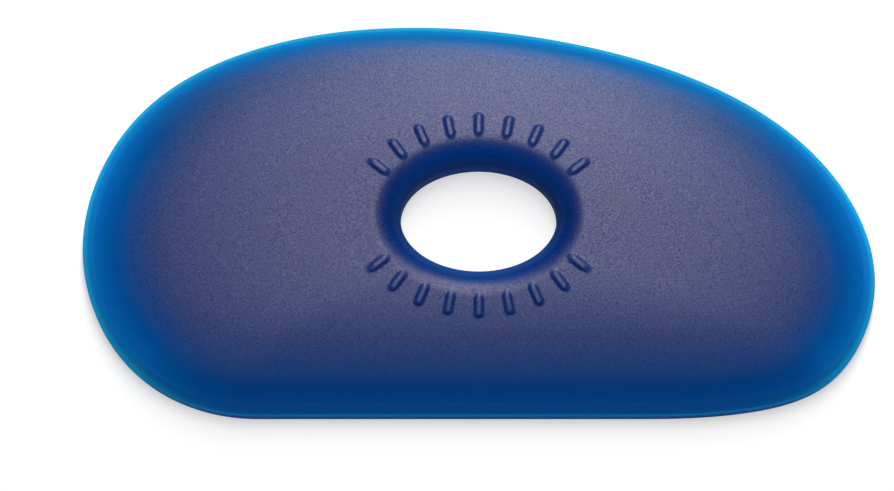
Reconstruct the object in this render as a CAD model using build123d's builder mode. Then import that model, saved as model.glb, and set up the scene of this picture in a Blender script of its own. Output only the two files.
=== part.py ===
from build123d import *
import os

# Pottery rib: a kidney-shaped scraper moulded in one piece of firm polyurethane.
# It lies on its flat back in the XY plane, with the straight working edge along -Y,
# the long sweeping edge along +Y and the origin under the middle of its outline.

# Outline
blade_length = 88.9
blade_width = 44.45

# Section, from the rim inwards
blade_thickness = 6.1
rim_wall_height = 2.0
rim_corner_radius = 0.8
land_width = 1.2
land_rise = 1.3

# Crown: a steep shoulder blends into a shallow dome, which reaches its full height at
# a small level top over the finger hole
shoulder_rise = 0.7
shoulder_power = 6
crown_reach = 16
crown_top_length = 16
crown_top_width = 10

# Oval finger hole
hole_length = 17.5
hole_width = 11.9
hole_lip_radius = 3.3

# Stations along the curved edge, and sections that carry the curve of the crown
edge_stations = 24
crown_sections = 7

# Points of the curved edge, anticlockwise from the right end of the straight edge to
# its left end, as shares of the length and the width
curved_edge_shares = (
    (0.206, -0.5),
    (0.340, -0.484),
    (0.441, -0.411),
    (0.5, -0.165),
    (0.433, 0.155),
    (0.300, 0.344),
    (0.133, 0.453),
    (-0.088, 0.5),
    (-0.296, 0.435),
    (-0.427, 0.279),
    (-0.5, -0.061),
    (-0.460, -0.323),
    (-0.403, -0.431),
    (-0.279, -0.5),
)

crease_length = blade_length - 2 * land_width
crease_width = blade_width - 2 * land_width
crease_height = rim_wall_height + land_rise
dome_rise = blade_thickness - crease_height - shoulder_rise
station_shares = [index / edge_stations for index in range(edge_stations + 1)]


def draw_flowing_curve(points):
    """Smooth curve through points, running into the straight edge at both its ends."""
    return Spline(points, tangents=[(1, 0), (1, 0)], tangent_scalars=[1, 1])


with BuildLine() as plan:
    curved_edge = draw_flowing_curve(
        [(x * blade_length, y * blade_width) for x, y in curved_edge_shares]
    )


def face_inwards(share):
    """Level direction into the rib, square to the curved edge."""
    along = curved_edge % share
    return Vector(-along.Y, along.X)


def draw_section(height, stations):
    """Level section, with its curved edge through stations and a straight edge."""
    with BuildSketch(Plane.XY.offset(height)) as section:
        with BuildLine():
            edge = draw_flowing_curve(stations)
            Line(edge @ 1, edge @ 0)
        make_face()
    return section.sketch


def draw_rim_section(height, inset):
    """The outline, drawn in all round by an inset."""
    stations = [
        curved_edge @ share + face_inwards(share) * inset for share in station_shares
    ]
    return draw_section(height, stations)


def draw_crown_section(rise_share):
    """Section of the crown, a share of the way from the crease to the level top."""
    stations = []
    for share in station_shares:
        crease = curved_edge @ share + face_inwards(share) * land_width
        top = Vector(
            crease.X * crown_top_length / crease_length,
            crease.Y * crown_top_width / crease_width,
        )
        # It leaves the crease square to it and then swings towards the top
        straight_in = face_inwards(share) * crown_reach
        swing = top - crease - straight_in
        stations.append(crease + straight_in * rise_share + swing * rise_share**2)
    shoulder = shoulder_rise * (1 - (1 - rise_share) ** shoulder_power)
    dome = dome_rise * (1 - (1 - rise_share) ** 2)
    return draw_section(crease_height + shoulder + dome, stations)


with BuildPart() as rib_body:
    # Upright wall all round the rim, and the bevelled land over it, up to the crease
    # where the crown starts
    back = draw_rim_section(0, 0)
    wall_top = draw_rim_section(rim_wall_height, 0)
    crease = draw_rim_section(crease_height, land_width)
    loft([back, wall_top, crease], ruled=True)

    # Crown, from the crease to its level top
    last_section = crown_sections - 1
    loft([draw_crown_section(index / last_section) for index in range(crown_sections)])

    # Rounded corner where the wall turns into the land. By height, the edges are the
    # back's, the wall's upright ones and then the corner's.
    corner = rib_body.edges().group_by(Axis.Z)[2]
    fillet(corner, rim_corner_radius)

    # Finger hole right through, with a rolled lip on the crowned side
    with BuildSketch(Plane.XY):
        Ellipse(hole_length / 2, hole_width / 2)
    extrude(amount=2 * blade_thickness, mode=Mode.SUBTRACT)
    hole_wall = rib_body.faces().filter_by(GeomType.EXTRUSION)
    hole_lip = hole_wall.edges().filter_by(GeomType.BSPLINE)
    fillet(hole_lip, hole_lip_radius)

rib_body.part.label = "rib_body"

os.makedirs("parts", exist_ok=True)
export_step(rib_body.part, "parts/rib_body.step")
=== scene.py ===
import math

import bpy
import numpy as np
from mathutils import Matrix, Vector
from mathutils.bvhtree import BVHTree


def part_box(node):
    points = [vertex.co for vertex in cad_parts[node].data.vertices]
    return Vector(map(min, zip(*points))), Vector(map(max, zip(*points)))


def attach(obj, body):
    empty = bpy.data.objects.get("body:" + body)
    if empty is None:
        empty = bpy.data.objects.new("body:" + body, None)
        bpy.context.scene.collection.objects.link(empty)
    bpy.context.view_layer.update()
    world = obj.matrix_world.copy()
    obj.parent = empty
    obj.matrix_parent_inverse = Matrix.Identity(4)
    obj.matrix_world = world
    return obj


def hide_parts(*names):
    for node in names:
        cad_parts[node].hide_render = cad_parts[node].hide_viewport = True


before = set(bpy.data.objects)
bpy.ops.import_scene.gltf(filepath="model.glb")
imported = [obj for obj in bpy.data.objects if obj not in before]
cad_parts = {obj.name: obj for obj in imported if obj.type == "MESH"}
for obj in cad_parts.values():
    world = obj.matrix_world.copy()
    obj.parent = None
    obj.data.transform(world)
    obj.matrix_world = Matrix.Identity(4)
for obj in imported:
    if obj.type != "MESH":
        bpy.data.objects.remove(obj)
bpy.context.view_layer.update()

MM = 0.001

# Sizes of the rib in millimetres: those of its box from the frame, the rest as in the part
low_corner, high_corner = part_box("rib_body")
BLADE_LENGTH = (high_corner.x - low_corner.x) / MM
BLADE_WIDTH = (high_corner.y - low_corner.y) / MM
BLADE_THICKNESS = high_corner.z / MM
WALL_HEIGHT = 2.0
CORNER_RADIUS = 0.8
LAND_WIDTH = 1.2
LAND_RISE = 1.3
SHOULDER_RISE = 0.7
SHOULDER_POWER = 6
CROWN_REACH = 16
CROWN_TOP_LENGTH = 16
CROWN_TOP_WIDTH = 10
HOLE_LENGTH = 17.5
HOLE_WIDTH = 11.9
LIP_RADIUS = 3.3

CREASE_HEIGHT = WALL_HEIGHT + LAND_RISE
DOME_RISE = BLADE_THICKNESS - CREASE_HEIGHT - SHOULDER_RISE
HOLE_RADII = np.array((HOLE_LENGTH / 2, HOLE_WIDTH / 2))

# Softened edges, which are sharp in the part
BACK_EDGE_RADIUS = 0.12
CREASE_BLEND = 0.35

# Grip bars: an arc of them on each side of the hole, which fan out and lap over its lip.
# They have flat tops and soft sides.
BAR_COUNT = 9
BAR_LENGTH = 2.8
BAR_WIDTH = 1.2
BAR_SIDE = 0.4
BAR_HEIGHT = 0.19
BAR_LAP = 0.3
BAR_SPREAD = math.radians(116)

# Points of the curved edge, anticlockwise, as shares of the length and the width
CURVED_EDGE_SHARES = (
    (0.206, -0.5),
    (0.340, -0.484),
    (0.441, -0.411),
    (0.5, -0.165),
    (0.433, 0.155),
    (0.300, 0.344),
    (0.133, 0.453),
    (-0.088, 0.5),
    (-0.296, 0.435),
    (-0.427, 0.279),
    (-0.5, -0.061),
    (-0.460, -0.323),
    (-0.403, -0.431),
    (-0.279, -0.5),
)

# Points along the edges of the rib and round its hole
CURVED_POINTS = 580
STRAIGHT_POINTS = 140
SAMPLES_PER_SPAN = 200
HOLE_POINTS = 360

# Rings of points across each stretch of its section
EDGE_STEPS = 3
WALL_SHARES = (0.33, 0.67)
CORNER_RINGS = 8
CREASE_STEPS = 5
CROWN_RINGS = 23
INNER_RINGS = 45
LIP_RINGS = 17
BACK_RINGS = 10

# Share of the crown's way in at which its own rings end, just outside the grip bars, and
# the rings, from a little before that, that carry its surface on to its level top
CROWN_RINGS_END = 0.475
SURFACE_START = 0.4
SURFACE_RINGS = 40

# Points whose gaps are measured at a time
GAP_BATCH = 4000

# Greatest distance from the rim or the hole, in millimetres, that a ramp reaches
RAMP_REACH = 20

# Colours of the polyurethane with painted light, each at its distance from the rim in
# millimetres: at the two ends of the rib, along its back, along its front, and inside, the
# same for all three. The thin rim is lighter, partly its own paler blue where it is thin and
# partly a painted glow of light coming through it; the ends are painted brightest, the back
# less and the front least, as the light falls
END_PAINTED_LIGHT_COLOURS = (
    (0.0, (0.004, 0.40, 0.82)),
    (0.45, (0.003, 0.34, 0.75)),
    (0.65, (0.0, 0.21, 0.58)),
    (1.25, (0.0, 0.17, 0.52)),
    (1.5, (0.0, 0.125, 0.44)),
    (2.0, (0.0, 0.115, 0.41)),
    (3.5, (0.0, 0.074, 0.31)),
    (6.0, (0.0, 0.036, 0.20)),
)
BACK_PAINTED_LIGHT_COLOURS = (
    (0.0, (0.005, 0.29, 0.55)),
    (0.45, (0.004, 0.26, 0.51)),
    (0.65, (0.0, 0.15, 0.42)),
    (2.0, (0.0, 0.085, 0.29)),
    (3.5, (0.0, 0.045, 0.19)),
    (5.5, (0.0, 0.030, 0.155)),
)
# Along the front a painted highlight runs on the top corner of the wall, and the wall below it is
# painted in shadow
FRONT_PAINTED_LIGHT_COLOURS = (
    (0.0, (0.0, 0.09, 0.45)),
    (0.03, (0.003, 0.30, 0.82)),
    (0.16, (0.003, 0.28, 0.78)),
    (0.3, (0.0, 0.12, 0.47)),
    (1.25, (0.0, 0.085, 0.39)),
    (1.5, (0.0, 0.06, 0.305)),
    (3.5, (0.0, 0.045, 0.215)),
    (5.5, (0.0, 0.040, 0.195)),
)
INSIDE_COLOURS = (
    (8.5, (0.0, 0.025, 0.15)),
    (14.0, (0.0, 0.019, 0.138)),
    (20.0, (0.0, 0.016, 0.132)),
)

# Colours of the hole's lip, each at its place from the hole's front, 0, to its back, 1: painted
# light and shade, lighter at the back and the front of the hole and darker at its sides
LIP_PAINTED_LIGHT_COLOURS = (
    (0.0, (0.0, 0.034, 0.20)),
    (0.25, (0.0, 0.023, 0.155)),
    (0.5, (0.0, 0.021, 0.145)),
    (0.8, (0.0, 0.040, 0.24)),
    (1.0, (0.0, 0.058, 0.35)),
)

# Tints of what the polyurethane reflects, painted: near the rim and the hole, where the glow
# is painted, the reflection is painted down, most of all in red
PAINTED_BLUE_REFLECTION_TINT = (0.1, 0.6, 0.8)
HALF_WAY_TINT = (0.55, 0.76, 0.86)
SHEEN_TINT = (1, 0.9, 0.9)

# Roughness of its matt and its satin stretches
MATT = 0.85
SATIN = 0.43

# Grain: its noise's scale per metre, its depth in millimetres, and the low and the high
# values of the noise, which dim and brighten what is reflected by these factors
GRAIN_SCALE = 6500
GRAIN_DEPTH = 0.01
GRAIN_LOW = 0.25
GRAIN_HIGH = 0.75
GRAIN_DIM = 0.4
GRAIN_BRIGHT = 1.6

# Paper: how far it reaches in millimetres, its grey for light that bounces off it, and,
# where it is seen, its grey and the glow that lifts it to white
PAPER_REACH = 2000
PAPER_GREY = 0.8
SEEN_PAPER_GREY = 0.4
SEEN_PAPER_GLOW = 0.6

# Light: a long softbox overhead, in millimetres, which leans to the right and far to the
# back, and a dim world
LIGHT_DISTANCE = 550
LIGHT_WIDTH = 80
LIGHT_LENGTH = 606
LIGHT_TO_RIGHT = math.radians(3.8)
LIGHT_TO_BACK = math.radians(30.4)
LIGHT_ROLL = math.radians(-8)
LIGHT_RADIANCE = 28
WORLD_STRENGTH = 0.06

# Camera: the photograph's frame, where the middle of the outline lies in it and at what
# scale, and the camera's angle, with its lengths in millimetres
FRAME_WIDTH_PX = 894
FRAME_HEIGHT_PX = 491
ORIGIN_PX = (478.5, 223.9)
MM_PER_PX = 0.1126
CAMERA_ELEVATION = math.radians(80)
CAMERA_DISTANCE = 600
SENSOR_WIDTH = 36


def curved_edge():
    """Dense points of the curved edge and its directions, as a clamped cubic spline."""
    knots = np.array(CURVED_EDGE_SHARES) * (BLADE_LENGTH, BLADE_WIDTH)
    spans = np.linalg.norm(np.diff(knots, axis=0), axis=1)
    slopes = np.diff(knots, axis=0) / spans[:, None]

    # Rates of the spline at its knots: along X at both ends, smooth at those between
    count = len(knots)
    matrix = np.eye(count)
    rates = np.zeros((count, 2))
    rates[0] = rates[-1] = (1, 0)
    for i in range(1, count - 1):
        before, after = spans[i - 1], spans[i]
        matrix[i, i - 1 : i + 2] = (after, 2 * (before + after), before)
        rates[i] = 3 * (after * slopes[i - 1] + before * slopes[i])
    rates = np.linalg.solve(matrix, rates)

    points, directions = [], []
    for i, span in enumerate(spans):
        is_last = i == len(spans) - 1
        t = np.linspace(0, 1, SAMPLES_PER_SPAN, endpoint=is_last)[:, None]
        start, end = knots[i], knots[i + 1]
        start_rate, end_rate = rates[i] * span, rates[i + 1] * span
        points.append(
            (2 * t**3 - 3 * t**2 + 1) * start
            + (t**3 - 2 * t**2 + t) * start_rate
            + (3 * t**2 - 2 * t**3) * end
            + (t**3 - t**2) * end_rate
        )
        directions.append(
            (6 * t**2 - 6 * t) * (start - end)
            + (3 * t**2 - 4 * t + 1) * start_rate
            + (3 * t**2 - 2 * t) * end_rate
        )
    return np.concatenate(points), np.concatenate(directions)


def outline_loop():
    """Even points round the outline, anticlockwise, and the inward direction at each."""
    points, directions = curved_edge()
    steps = np.linalg.norm(np.diff(points, axis=0), axis=1)
    lengths = np.concatenate(([0], np.cumsum(steps)))
    wanted = np.linspace(0, lengths[-1], CURVED_POINTS, endpoint=False)

    def spread_evenly(values):
        """Pairs of values at the wanted lengths along the curved edge."""
        return np.stack([np.interp(wanted, lengths, column) for column in values.T], 1)

    curved, along = spread_evenly(points), spread_evenly(directions)
    along /= np.linalg.norm(along, axis=1)[:, None]
    curved_inwards = np.stack((-along[:, 1], along[:, 0]), 1)
    share = np.linspace(0, 1, STRAIGHT_POINTS, endpoint=False)[:, None]
    straight = points[-1] * (1 - share) + points[0] * share
    straight_inwards = np.tile((0, 1), (STRAIGHT_POINTS, 1))
    loop = np.concatenate((curved, straight))
    return loop, np.concatenate((curved_inwards, straight_inwards))


def circle_points(angles):
    """Points of a circle with a radius of 1, at some angles."""
    return np.stack((np.cos(angles), np.sin(angles)), 1)


def hole_line():
    """Even points round the finger hole, anticlockwise."""
    return circle_points(np.linspace(0, 2 * math.pi, HOLE_POINTS, endpoint=False)) * HOLE_RADII


def level(flat, height):
    """Points with heights, from level points and one height or one for each."""
    return np.column_stack((flat, np.broadcast_to(height, len(flat))))


def rounded_turn(start, corner, end, steps):
    """Rings of a soft turn at a corner, from start to end, as a quadratic curve."""
    shares = [index / steps for index in range(steps + 1)]
    return [(1 - t) ** 2 * start + 2 * t * (1 - t) * corner + t**2 * end for t in shares]


def crown_ring(loop, inwards, share):
    """Level ring of the crown, a share of the way from the crease to its level top."""
    crease = loop + inwards * LAND_WIDTH
    crease_size = np.array((BLADE_LENGTH, BLADE_WIDTH)) - 2 * LAND_WIDTH
    top = crease * (CROWN_TOP_LENGTH, CROWN_TOP_WIDTH) / crease_size
    straight_in = inwards * CROWN_REACH
    flat = crease + straight_in * share + (top - crease - straight_in) * share**2
    shoulder = SHOULDER_RISE * (1 - (1 - share) ** SHOULDER_POWER)
    return level(flat, CREASE_HEIGHT + shoulder + DOME_RISE * (1 - (1 - share) ** 2))


def bar_lines():
    """The two ends of each grip bar's middle line, square to an oval round the hole."""
    arc = HOLE_RADII + (LIP_RADIUS - BAR_LAP + BAR_LENGTH / 2)
    reach = (BAR_LENGTH - BAR_WIDTH) / 2
    lines = []
    for side in (1, -1):
        for share in np.linspace(-0.5, 0.5, BAR_COUNT):
            angle = BAR_SPREAD * share
            around = np.array((math.sin(angle), side * math.cos(angle)))
            outwards = around / arc / np.linalg.norm(around / arc)
            middle = around * arc
            lines.append((middle - outwards * reach, middle + outwards * reach))
    return lines


def bar_relief(flat):
    """Height of the grip bars at level points: a flat top with soft sides."""
    relief = np.zeros(len(flat))
    for start, end in bar_lines():
        line = end - start
        share = np.clip((flat - start) @ line / (line @ line), 0, 1)
        gap = np.linalg.norm(flat - start - share[:, None] * line, axis=1)
        side = np.clip((BAR_WIDTH / 2 - gap) / BAR_SIDE, 0, 1)
        relief = np.maximum(relief, BAR_HEIGHT * side**2 * (3 - 2 * side))
    return relief


def grid_faces(rings, points, wrap):
    """Quads between rings of points that each close on themselves."""
    faces = []
    for ring in range(rings if wrap else rings - 1):
        here, there = ring * points, (ring + 1) % rings * points
        for i in range(points):
            j = (i + 1) % points
            faces.append((here + i, here + j, there + j, there + i))
    return faces


def crown_surface(loop, inwards):
    """A function that gives the crown's height at level points inside its last ring."""
    shares = np.linspace(SURFACE_START, 1, SURFACE_RINGS)
    points = np.concatenate([crown_ring(loop, inwards, share) for share in shares])
    faces = grid_faces(SURFACE_RINGS, len(loop), wrap=False)
    surface = BVHTree.FromPolygons([Vector(point) for point in points], faces)
    above = 2 * BLADE_THICKNESS
    down = Vector((0, 0, -1))
    top_height = points[-1, 2]

    def height_at(flat):
        """Heights where rays from above hit the surface, which is open at its top."""
        hits = [surface.ray_cast(Vector((x, y, above)), down)[0] for x, y in flat]
        return np.array([hit.z if hit else top_height for hit in hits])

    return height_at


def rim_rings(loop, inwards):
    """Rings from the soft edge of the back up the wall and round its upper corner."""
    back_edge = level(loop + inwards * BACK_EDGE_RADIUS, 0)
    wall_foot = level(loop, BACK_EDGE_RADIUS)
    rings = rounded_turn(back_edge, level(loop, 0), wall_foot, EDGE_STEPS)
    turn = math.pi / 2 - math.atan2(LAND_RISE, LAND_WIDTH)
    corner_start = WALL_HEIGHT - CORNER_RADIUS * math.tan(turn / 2)
    for share in WALL_SHARES:
        rings.append(level(loop, BACK_EDGE_RADIUS + (corner_start - BACK_EDGE_RADIUS) * share))
    for angle in np.linspace(0, turn, CORNER_RINGS):
        inset = CORNER_RADIUS * (1 - math.cos(angle))
        rings.append(level(loop + inwards * inset, corner_start + CORNER_RADIUS * math.sin(angle)))
    return rings


def crown_rings(loop, inwards, corner_end):
    """Rings over the softened crease and the crown, as far as the grip bars."""
    crease = crown_ring(loop, inwards, 0)
    down_land = corner_end - crease
    down_land /= np.linalg.norm(down_land, axis=1)[:, None]
    blend_share = CREASE_BLEND / CROWN_REACH
    blend_end = crown_ring(loop, inwards, blend_share)
    rings = rounded_turn(crease + down_land * CREASE_BLEND, crease, blend_end, CREASE_STEPS)
    for share in np.linspace(blend_share, CROWN_RINGS_END, CROWN_RINGS + 1)[1:]:
        rings.append(crown_ring(loop, inwards, share))
    return rings


def hole_rings(crown_end, height_at):
    """Rings from the crown's last one in to the hole, over its lip and down its wall."""
    flat_end = crown_end[:, :2]
    x_shares, y_shares = (flat_end / HOLE_RADII).T
    circle = circle_points(np.arctan2(y_shares, x_shares))
    outwards = circle / HOLE_RADII
    outwards /= np.linalg.norm(outwards, axis=1)[:, None]
    oval = circle * HOLE_RADII
    lip_end = oval + outwards * LIP_RADIUS
    rings = []
    for share in np.linspace(0, 1, INNER_RINGS + 1)[1:]:
        flat = flat_end * (1 - share) + lip_end * share
        rings.append(level(flat, height_at(flat) + bar_relief(flat)))

    # Rolled lip, which drops away from the crown, and the wall down from it
    for angle in np.linspace(0, math.pi / 2, LIP_RINGS + 1)[1:]:
        flat = oval + outwards * LIP_RADIUS * (1 - math.sin(angle))
        drop = LIP_RADIUS * (1 - math.cos(angle))
        rings.append(level(flat, height_at(flat) + bar_relief(flat) - drop))
    wall_top = rings[-1][:, 2]
    for share in WALL_SHARES:
        rings.append(level(oval, wall_top + (BACK_EDGE_RADIUS - wall_top) * share))
    wall_foot = level(oval, BACK_EDGE_RADIUS)
    back_edge = level(oval + outwards * BACK_EDGE_RADIUS, 0)
    return rings + rounded_turn(wall_foot, level(oval, 0), back_edge, EDGE_STEPS)


def back_rings(hole_end, rim_start):
    """Rings across the flat back, out from the hole to the rim."""
    shares = np.linspace(0, 1, BACK_RINGS + 2)[1:-1]
    return [hole_end * (1 - share) + rim_start * share for share in shares]


def make_object(name, points, faces):
    """Mesh object in the scene, from points in millimetres."""
    mesh = bpy.data.meshes.new(name)
    mesh.from_pydata([tuple(point) for point in np.array(points) * MM], [], faces)
    mesh.update()
    piece = bpy.data.objects.new(name, mesh)
    bpy.context.scene.collection.objects.link(piece)
    return piece


def make_blade(loop, inwards):
    """The rib as rings that run up its rim, over its crown, down its hole and back."""
    rings = rim_rings(loop, inwards)
    rings += crown_rings(loop, inwards, rings[-1])
    rings += hole_rings(rings[-1], crown_surface(loop, inwards))
    rings += back_rings(rings[-1], rings[0])
    faces = grid_faces(len(rings), len(loop), wrap=True)
    piece = make_object("rib_moulding", np.concatenate(rings), faces)
    piece.data.shade_smooth()
    return piece


def mark_gap(piece, name, line):
    """Stores each point's distance to a closed line, in mm and seen from above.

    Also stores which way the line faces there: 0 to the front, 1 to the back.
    """
    mesh = piece.data
    flat = np.array([tuple(vertex.co)[:2] for vertex in mesh.vertices]) / MM
    along = np.roll(line, -1, 0) - np.roll(line, 1, 0)
    line_facing = 0.5 - 0.5 * along[:, 0] / np.linalg.norm(along, axis=1)
    gaps, facings = [], []
    for start in range(0, len(flat), GAP_BATCH):
        offsets = flat[start : start + GAP_BATCH, None] - line[None]
        squares = (offsets**2).sum(axis=2)
        gaps.append(np.sqrt(squares.min(axis=1)))
        facings.append(line_facing[squares.argmin(axis=1)])
    for suffix, values in (("_gap", gaps), ("_facing", facings)):
        attribute = mesh.attributes.new(name + suffix, "FLOAT", "POINT")
        attribute.data.foreach_set("value", np.concatenate(values).astype(np.float32))


def opaque(value):
    """A colour with full alpha, from red, green and blue or from one grey."""
    return (*value, 1) if isinstance(value, tuple) else (value, value, value, 1)


class NodeMaterial:
    """A material made of nodes round one Principled shader."""

    # Places of the colour sockets on a Mix node
    FIRST_COLOUR = 6
    SECOND_COLOUR = 7
    MIXED_COLOUR = 2

    def __init__(self, name):
        self.material = bpy.data.materials.new(name)
        self.material.use_nodes = True
        self.tree = self.material.node_tree
        self.tree.nodes.clear()
        self.shader = self.add("ShaderNodeBsdfPrincipled")
        self.add("ShaderNodeOutputMaterial", {"Surface": self.shader.outputs["BSDF"]})

    def feed(self, node, inputs):
        """Gives inputs of a node plain values, or links them to outputs of others."""
        for name, value in inputs.items():
            socket = node.inputs[name]
            if isinstance(value, bpy.types.NodeSocket):
                self.tree.links.new(value, socket)
            else:
                socket.default_value = opaque(value) if socket.type == "RGBA" else value

    def add(self, kind, inputs=None, **settings):
        """Adds a node, makes its settings and feeds its inputs."""
        node = self.tree.nodes.new(kind)
        for name, value in settings.items():
            setattr(node, name, value)
        self.feed(node, inputs or {})
        return node

    def calculate(self, operation, first, second):
        """Result of a Math node on two numbers or outputs."""
        node = self.add("ShaderNodeMath", {0: first, 1: second}, operation=operation)
        return node.outputs[0]

    def mix(self, share, first, second):
        """Mix from a first colour to a second, as a share goes from 0 to 1."""
        inputs = {"Factor": share, self.FIRST_COLOUR: first, self.SECOND_COLOUR: second}
        return self.add("ShaderNodeMix", inputs, data_type="RGBA").outputs[self.MIXED_COLOUR]

    def ramp(self, attribute, *stops, full=1):
        """Ramp of colours or greys over an attribute, up to a full value of it."""
        source = self.add("ShaderNodeAttribute", attribute_name=attribute)
        share = self.calculate("DIVIDE", source.outputs["Fac"], full)
        node = self.add("ShaderNodeValToRGB", {"Fac": share})
        elements = node.color_ramp.elements
        while len(elements) < len(stops):
            elements.new(0.5)
        for element, (position, value) in zip(elements, stops):
            element.position = position / full
            element.color = opaque(value)
        return node.outputs["Color"]

    def gap_ramp(self, attribute, *stops):
        """Ramp over a gap in millimetres."""
        return self.ramp(attribute, *stops, full=RAMP_REACH)


def body_colour_and_painted_light(plastic, at_front):
    """Body colour with painted light: a painted glow in the thin rim, most at the ends and least
    in front, a painted highlight and painted shadow on the front wall, and the lip painted lighter
    at the hole's back and front.
    """
    ends = plastic.gap_ramp("rim_gap", *END_PAINTED_LIGHT_COLOURS, *INSIDE_COLOURS)
    back = plastic.gap_ramp("rim_gap", *BACK_PAINTED_LIGHT_COLOURS, *INSIDE_COLOURS)
    front = plastic.gap_ramp("rim_gap", *FRONT_PAINTED_LIGHT_COLOURS, *INSIDE_COLOURS)
    at_back = plastic.ramp("rim_facing", (0.72, 0), (0.94, 1))
    body = plastic.mix(at_back, plastic.mix(at_front, ends, front), back)
    lip = plastic.ramp("hole_facing", *LIP_PAINTED_LIGHT_COLOURS)
    past_lip = plastic.gap_ramp("hole_gap", (0.6, 0), (2.6, 1))
    return plastic.mix(past_lip, lip, body)


def body_roughness(plastic):
    """Roughness: satin faces, with a matt rim and a matt wall in the hole."""
    outside_hole = plastic.gap_ramp("rim_gap", (1.2, MATT), (2.0, SATIN))
    past_edge = plastic.gap_ramp("hole_gap", (0.3, 0), (1.0, 1))
    return plastic.mix(past_edge, MATT, outside_hole)


def sheen_tint(plastic, at_front):
    """Tint of what is reflected, painted: near the rim and the hole the reflection is dimmed, most
    in red, out to a reach that differs for the ends, the back and the front.
    """
    ends = plastic.gap_ramp("rim_gap", (4.0, PAINTED_BLUE_REFLECTION_TINT), (5.3, HALF_WAY_TINT), (9.0, SHEEN_TINT))
    front = plastic.gap_ramp("rim_gap", (2.9, PAINTED_BLUE_REFLECTION_TINT), (4.6, SHEEN_TINT))
    back = plastic.gap_ramp("rim_gap", (1.3, PAINTED_BLUE_REFLECTION_TINT), (3.1, SHEEN_TINT))
    near_back = plastic.ramp("rim_facing", (0.8, 0), (0.87, 0.3), (0.93, 0.6), (1, 1))
    outside_hole = plastic.mix(near_back, plastic.mix(at_front, ends, front), back)
    past_painted_glow = plastic.gap_ramp("hole_gap", (0.8, 0), (2.2, 1))
    return plastic.mix(past_painted_glow, PAINTED_BLUE_REFLECTION_TINT, outside_hole)


def fine_grain(plastic):
    """Noise as fine as the grain of the moulding."""
    place = plastic.add("ShaderNodeTexCoord").outputs["Object"]
    inputs = {"Vector": place, "Scale": GRAIN_SCALE, "Detail": 1}
    return plastic.add("ShaderNodeTexNoise", inputs).outputs["Fac"]


def speckled(plastic, grain, tint):
    """A tint, dimmed and brightened by the grain."""
    inputs = {
        "Value": grain,
        "From Min": GRAIN_LOW,
        "From Max": GRAIN_HIGH,
        "To Min": GRAIN_DIM,
        "To Max": GRAIN_BRIGHT,
    }
    strength = plastic.add("ShaderNodeMapRange", inputs).outputs["Result"]
    inputs = {"Vector": tint, "Scale": strength}
    return plastic.add("ShaderNodeVectorMath", inputs, operation="SCALE").outputs["Vector"]


def bumped(plastic, grain):
    """The surface's normal, with the grain standing out of it."""
    inputs = {"Height": grain, "Strength": 1, "Distance": GRAIN_DEPTH * MM}
    return plastic.add("ShaderNodeBump", inputs).outputs["Normal"]


def make_polyurethane():
    """Translucent blue polyurethane: bright at its thin rim, partly its own paler blue and partly
    painted glow, with painted light and shade by side, deep inside, satin grain.
    """
    plastic = NodeMaterial("blue_polyurethane")
    plastic.shader.subsurface_method = "RANDOM_WALK"
    at_front = plastic.ramp("rim_facing", (0, 1), (0.14, 0))
    grain = fine_grain(plastic)
    inputs = {
        # base colour: the plastic's blue with painted glow, painted highlight and painted shade
        "Base Color": body_colour_and_painted_light(plastic, at_front),
        "Subsurface Weight": 0.6,
        "Subsurface Radius": (0.2, 0.6, 1.0),
        "Subsurface Scale": 1.6 * MM,
        "IOR": 1.42,
        "Roughness": body_roughness(plastic),
        # reflection tint: painted dimming of reflections near the rim and the hole, speckled by
        # the grain
        "Specular Tint": speckled(plastic, grain, sheen_tint(plastic, at_front)),
        "Normal": bumped(plastic, grain),
    }
    plastic.feed(plastic.shader, inputs)
    return plastic.material


def make_paper():
    """White paper under the rib, lifted to white where it is seen, with its shadow."""
    paper = NodeMaterial("white_paper")
    rays = paper.add("ShaderNodeLightPath").outputs
    seen = paper.calculate("ADD", rays["Is Camera Ray"], rays["Is Glossy Ray"])
    seen = paper.calculate("ADD", seen, rays["Is Transmission Ray"])
    inputs = {
        "Base Color": paper.mix(seen, PAPER_GREY, SEEN_PAPER_GREY),
        "Roughness": 0.9,
        "Specular IOR Level": 0.1,
        "Emission Color": 1,
        "Emission Strength": paper.calculate("MULTIPLY", seen, SEEN_PAPER_GLOW),
    }
    paper.feed(paper.shader, inputs)
    return paper.material


def make_floor():
    """A wide plain floor that the rib lies on."""
    shares = ((-1, -1), (1, -1), (1, 1), (-1, 1))
    corners = [(x * PAPER_REACH, y * PAPER_REACH, 0) for x, y in shares]
    floor = make_object("floor", corners, [(0, 1, 2, 3)])
    floor.data.materials.append(make_paper())


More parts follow.
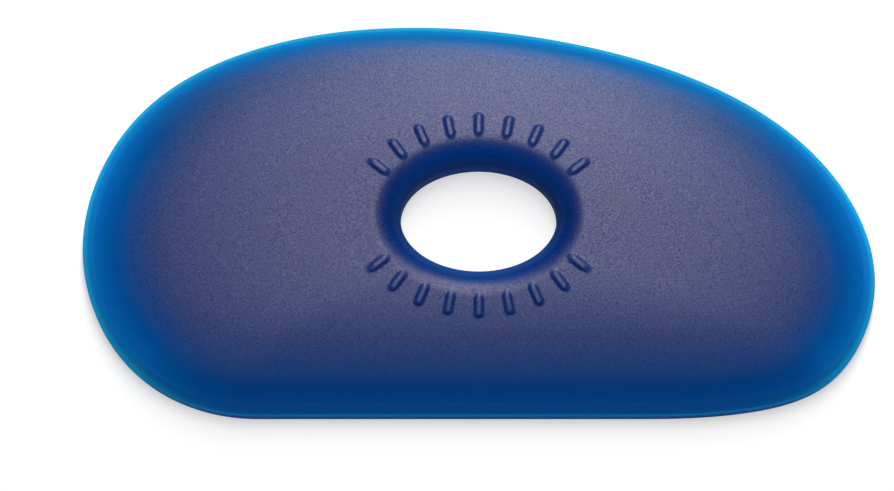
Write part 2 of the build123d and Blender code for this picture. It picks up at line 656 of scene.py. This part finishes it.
def light_scene():
    """One long strip softbox overhead that reaches far back, and a dim world."""
    light = bpy.data.lights.new("strip_softbox", "AREA")
    light.shape = "RECTANGLE"
    light.size, light.size_y = LIGHT_WIDTH * MM, LIGHT_LENGTH * MM
    light.energy = LIGHT_RADIANCE * math.pi * LIGHT_WIDTH * LIGHT_LENGTH * MM**2
    lamp = bpy.data.objects.new("strip_softbox", light)
    tilt = math.hypot(LIGHT_TO_RIGHT, LIGHT_TO_BACK)
    level_share = math.sin(tilt) / tilt
    outwards = Vector((LIGHT_TO_RIGHT * level_share, LIGHT_TO_BACK * level_share, math.cos(tilt)))
    across = Vector((0, 1, 0)).cross(outwards).normalized()
    facing = Matrix((across, outwards.cross(across), outwards)).transposed().to_4x4()
    place = Matrix.Translation(outwards * LIGHT_DISTANCE * MM)
    lamp.matrix_world = place @ facing @ Matrix.Rotation(LIGHT_ROLL, 4, "Z")
    bpy.context.scene.collection.objects.link(lamp)

    world = bpy.data.worlds.new("studio")
    world.use_nodes = True
    background = world.node_tree.nodes["Background"]
    background.inputs["Color"].default_value = opaque(1)
    background.inputs["Strength"].default_value = WORLD_STRENGTH
    bpy.context.scene.world = world


def add_camera():
    """Camera at the photograph's angle, aimed so that the rib lies where it does there."""
    data = bpy.data.cameras.new("camera")
    data.sensor_width = SENSOR_WIDTH
    data.lens = SENSOR_WIDTH * CAMERA_DISTANCE / (FRAME_WIDTH_PX * MM_PER_PX)
    right = (FRAME_WIDTH_PX / 2 - ORIGIN_PX[0]) * MM_PER_PX
    up = (ORIGIN_PX[1] - FRAME_HEIGHT_PX / 2) * MM_PER_PX
    target = Vector((right, up / math.sin(CAMERA_ELEVATION), 0)) * MM
    back = Vector((0, -math.cos(CAMERA_ELEVATION), math.sin(CAMERA_ELEVATION)))
    place = Matrix.Translation(target + back * CAMERA_DISTANCE * MM)
    camera = bpy.data.objects.new("camera", data)
    camera.matrix_world = place @ (-back).to_track_quat("-Z", "Y").to_matrix().to_4x4()
    bpy.context.scene.collection.objects.link(camera)
    bpy.context.scene.camera = camera


add_camera()
outline, inward_directions = outline_loop()
rib = make_blade(outline, inward_directions)
mark_gap(rib, "rim", outline)
mark_gap(rib, "hole", hole_line())
rib.data.materials.append(make_polyurethane())
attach(rib, "root")
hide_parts("rib_body")
make_floor()
light_scene()
bpy.context.scene.view_settings.view_transform = "Standard"
